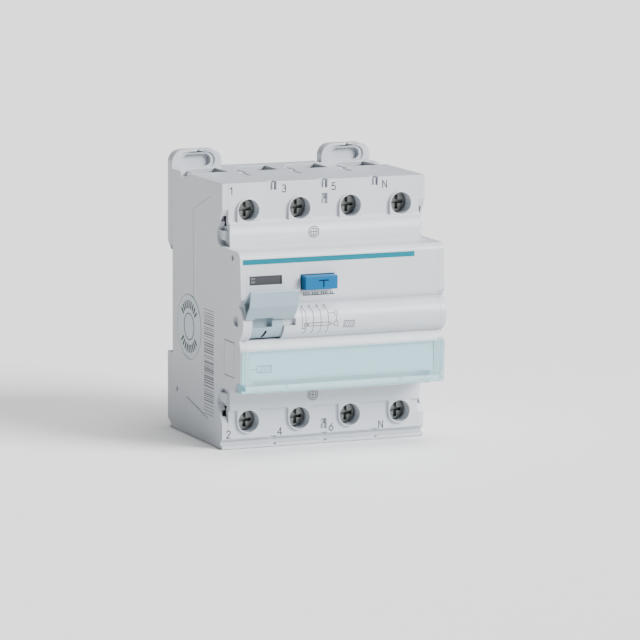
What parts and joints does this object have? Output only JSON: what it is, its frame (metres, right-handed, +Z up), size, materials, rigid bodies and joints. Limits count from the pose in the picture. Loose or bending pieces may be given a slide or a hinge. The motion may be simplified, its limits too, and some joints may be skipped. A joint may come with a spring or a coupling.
{
  "type": "residual current device",
  "caption": "Four-module rail-mounted residual current device with a toggle, a test button, a clear label flap, box clamps and two rail clips.",
  "frame": {"origin": "middle of the rail seat: on the plane that rests on the rail, halfway across the four modules and halfway up the rail", "axes": "+X across the modules, +Y from the front to the rail, +Z up, as the device is mounted with its line terminals on top"},
  "size_m": [0.07, 0.0711, 0.0909],
  "materials": {
    "housing": "fine satin moulded light grey",
    "toggle": "satin blue grey",
    "button": "smooth blue",
    "clear_cover": "clear polycarbonate with a faint cyan tint",
    "window": "smoked clear plastic",
    "flag": "dark grey with a green upper half",
    "card": "white card",
    "steel": "bright drawn steel",
    "screw_steel": "zinc plated, slightly dull",
    "clamp_steel": "zinc plated sheet",
    "copper": "bare copper",
    "carrier": "dark thermoset",
    "core": "wound magnetic strip",
    "winding": "enamelled copper wire",
    "board": "green solder mask",
    "resistor": "lacquered ceramic",
    "black_plastic": "black moulded",
    "white_plastic": "white moulded"
  },
  "bodies": {
    "root": {"rear_housing": "housing", "front_cover": "housing", "left_side_cover": "housing", "right_side_cover": "housing", "assembly_rods": "steel", "label_card": "card", "indicator_window": "window", "toggle_axle": "steel", "toggle_spring": "steel", "line_bar_1": "copper", "line_bar_3": "copper", "line_bar_5": "copper", "line_bar_n": "copper", "load_bar_2": "copper", "load_bar_4": "copper", "load_bar_6": "copper", "load_bar_n": "copper", "sensor_core": "core", "sensor_winding": "winding", "circuit_board": "board", "test_resistor": "resistor", "test_contact": "copper", "trip_relay": "black_plastic", "relay_coil": "winding", "latch_pin": "steel", "button_spring": "steel"},
    "toggle": {"toggle_lever": "toggle", "crank_pin": "steel"},
    "link": {"drive_link": "steel"},
    "contacts": {"contact_carrier": "carrier", "moving_contacts": "copper", "contact_springs": "steel"},
    "flag": {"indicator_flag": "flag"},
    "button": {"test_button": "button"},
    "plunger": {"relay_plunger": "steel"},
    "slider": {"trip_slider": "white_plastic"},
    "latch": {"latch_lever": "steel"},
    "flap": {"label_cover": "clear_cover"},
    "left_clip": {"left_rail_clip": "housing"},
    "right_clip": {"right_rail_clip": "housing"},
    "screw_1": {"terminal_screw_1": "screw_steel"},
    "clamp_body_1": {"clamp_1": "clamp_steel"},
    "screw_2": {"terminal_screw_2": "screw_steel"},
    "clamp_body_2": {"clamp_2": "clamp_steel"},
    "screw_3": {"terminal_screw_3": "screw_steel"},
    "clamp_body_3": {"clamp_3": "clamp_steel"},
    "screw_4": {"terminal_screw_4": "screw_steel"},
    "clamp_body_4": {"clamp_4": "clamp_steel"},
    "screw_5": {"terminal_screw_5": "screw_steel"},
    "clamp_body_5": {"clamp_5": "clamp_steel"},
    "screw_6": {"terminal_screw_6": "screw_steel"},
    "clamp_body_6": {"clamp_6": "clamp_steel"},
    "screw_n1": {"terminal_screw_n1": "screw_steel"},
    "clamp_body_n1": {"clamp_n1": "clamp_steel"},
    "screw_n2": {"terminal_screw_n2": "screw_steel"},
    "clamp_body_n2": {"clamp_n2": "clamp_steel"}
  },
  "joints": [
    {"name": "contact_slide", "type": "slide", "parent": "root", "child": "contacts", "axis": [0, -1, 0], "range_m": [0, 0.0045]},
    {"name": "toggle_hinge", "type": "hinge", "parent": "root", "child": "toggle", "pos_m": [-0.0267, -0.05575, 0], "axis": [1, 0, 0], "range_deg": [0, 75.1]},
    {"name": "link_pivot", "type": "hinge", "parent": "toggle", "child": "link", "pos_m": [-0.0265, -0.05229, 0.002], "axis": [1, 0, 0], "range_deg": [-80.35, 0]},
    {"name": "flag_slide", "type": "slide", "parent": "root", "child": "flag", "axis": [0, 0, -1], "range_m": [0, 0.00455]},
    {"name": "test_button_slide", "type": "slide", "parent": "root", "child": "button", "axis": [0, 1, 0], "range_m": [0, 0.002], "stiffness_N_per_m": 50, "springref_m": -0.002, "deforming": ["button_spring"]},
    {"name": "plunger_slide", "type": "slide", "parent": "root", "child": "plunger", "axis": [-1, 0, 0], "range_m": [0, 0.0012], "stiffness_N_per_m": 40, "springref_m": -0.001},
    {"name": "trip_slide", "type": "slide", "parent": "root", "child": "slider", "axis": [-1, 0, 0], "range_m": [0, 0.00121]},
    {"name": "latch_hinge", "type": "hinge", "parent": "root", "child": "latch", "pos_m": [-0.024, -0.041, -0.012], "axis": [0, 0, 1], "range_deg": [-17.3, 0]},
    {"name": "label_cover_hinge", "type": "hinge", "parent": "root", "child": "flap", "pos_m": [0, -0.0574, -0.0209], "axis": [1, 0, 0], "range_deg": [0, 90]},
    {"name": "left_clip_slide", "type": "slide", "parent": "root", "child": "left_clip", "axis": [0, 0, 1], "range_m": [0, 0.004], "stiffness_N_per_m": 100, "springref_m": -0.002},
    {"name": "right_clip_slide", "type": "slide", "parent": "root", "child": "right_clip", "axis": [0, 0, 1], "range_m": [0, 0.004], "stiffness_N_per_m": 100, "springref_m": -0.002},
    {"name": "clamp_slide_1", "type": "slide", "parent": "root", "child": "clamp_body_1", "axis": [0, -1, 0], "range_m": [0, 0.009]},
    {"name": "screw_turn_1", "type": "hinge", "parent": "root", "child": "screw_1", "pos_m": [-0.02625, -0.03, 0.0338], "axis": [0, 1, 0], "range_deg": [0, 3241]},
    {"name": "clamp_slide_2", "type": "slide", "parent": "root", "child": "clamp_body_2", "axis": [0, -1, 0], "range_m": [0, 0.009]},
    {"name": "screw_turn_2", "type": "hinge", "parent": "root", "child": "screw_2", "pos_m": [-0.02625, -0.03, -0.0338], "axis": [0, 1, 0], "range_deg": [0, 3241]},
    {"name": "clamp_slide_3", "type": "slide", "parent": "root", "child": "clamp_body_3", "axis": [0, -1, 0], "range_m": [0, 0.009]},
    {"name": "screw_turn_3", "type": "hinge", "parent": "root", "child": "screw_3", "pos_m": [-0.00875, -0.03, 0.0338], "axis": [0, 1, 0], "range_deg": [0, 3241]},
    {"name": "clamp_slide_4", "type": "slide", "parent": "root", "child": "clamp_body_4", "axis": [0, -1, 0], "range_m": [0, 0.009]},
    {"name": "screw_turn_4", "type": "hinge", "parent": "root", "child": "screw_4", "pos_m": [-0.00875, -0.03, -0.0338], "axis": [0, 1, 0], "range_deg": [0, 3241]},
    {"name": "clamp_slide_5", "type": "slide", "parent": "root", "child": "clamp_body_5", "axis": [0, -1, 0], "range_m": [0, 0.009]},
    {"name": "screw_turn_5", "type": "hinge", "parent": "root", "child": "screw_5", "pos_m": [0.00875, -0.03, 0.0338], "axis": [0, 1, 0], "range_deg": [0, 3241]},
    {"name": "clamp_slide_6", "type": "slide", "parent": "root", "child": "clamp_body_6", "axis": [0, -1, 0], "range_m": [0, 0.009]},
    {"name": "screw_turn_6", "type": "hinge", "parent": "root", "child": "screw_6", "pos_m": [0.00875, -0.03, -0.0338], "axis": [0, 1, 0], "range_deg": [0, 3241]},
    {"name": "clamp_slide_n1", "type": "slide", "parent": "root", "child": "clamp_body_n1", "axis": [0, -1, 0], "range_m": [0, 0.009]},
    {"name": "screw_turn_n1", "type": "hinge", "parent": "root", "child": "screw_n1", "pos_m": [0.02625, -0.03, 0.0338], "axis": [0, 1, 0], "range_deg": [0, 3241]},
    {"name": "clamp_slide_n2", "type": "slide", "parent": "root", "child": "clamp_body_n2", "axis": [0, -1, 0], "range_m": [0, 0.009]},
    {"name": "screw_turn_n2", "type": "hinge", "parent": "root", "child": "screw_n2", "pos_m": [0.02625, -0.03, -0.0338], "axis": [0, 1, 0], "range_deg": [0, 3241]}
  ],
  "couplings": [
    {"joint": "toggle_hinge", "follows": "contact_slide", "rad_per_m": 290.89},
    {"joint": "link_pivot", "follows": "contact_slide", "rad_per_m": -311.25},
    {"joint": "flag_slide", "follows": "contact_slide", "ratio": 1},
    {"joint": "trip_slide", "follows": "plunger_slide", "ratio": 1},
    {"joint": "latch_hinge", "follows": "plunger_slide", "rad_per_m": -250},
    {"joint": "screw_turn_1", "follows": "clamp_slide_1", "rad_per_m": 6283.2},
    {"joint": "screw_turn_2", "follows": "clamp_slide_2", "rad_per_m": 6283.2},
    {"joint": "screw_turn_3", "follows": "clamp_slide_3", "rad_per_m": 6283.2},
    {"joint": "screw_turn_4", "follows": "clamp_slide_4", "rad_per_m": 6283.2},
    {"joint": "screw_turn_5", "follows": "clamp_slide_5", "rad_per_m": 6283.2},
    {"joint": "screw_turn_6", "follows": "clamp_slide_6", "rad_per_m": 6283.2},
    {"joint": "screw_turn_n1", "follows": "clamp_slide_n1", "rad_per_m": 6283.2},
    {"joint": "screw_turn_n2", "follows": "clamp_slide_n2", "rad_per_m": 6283.2}
  ]
}
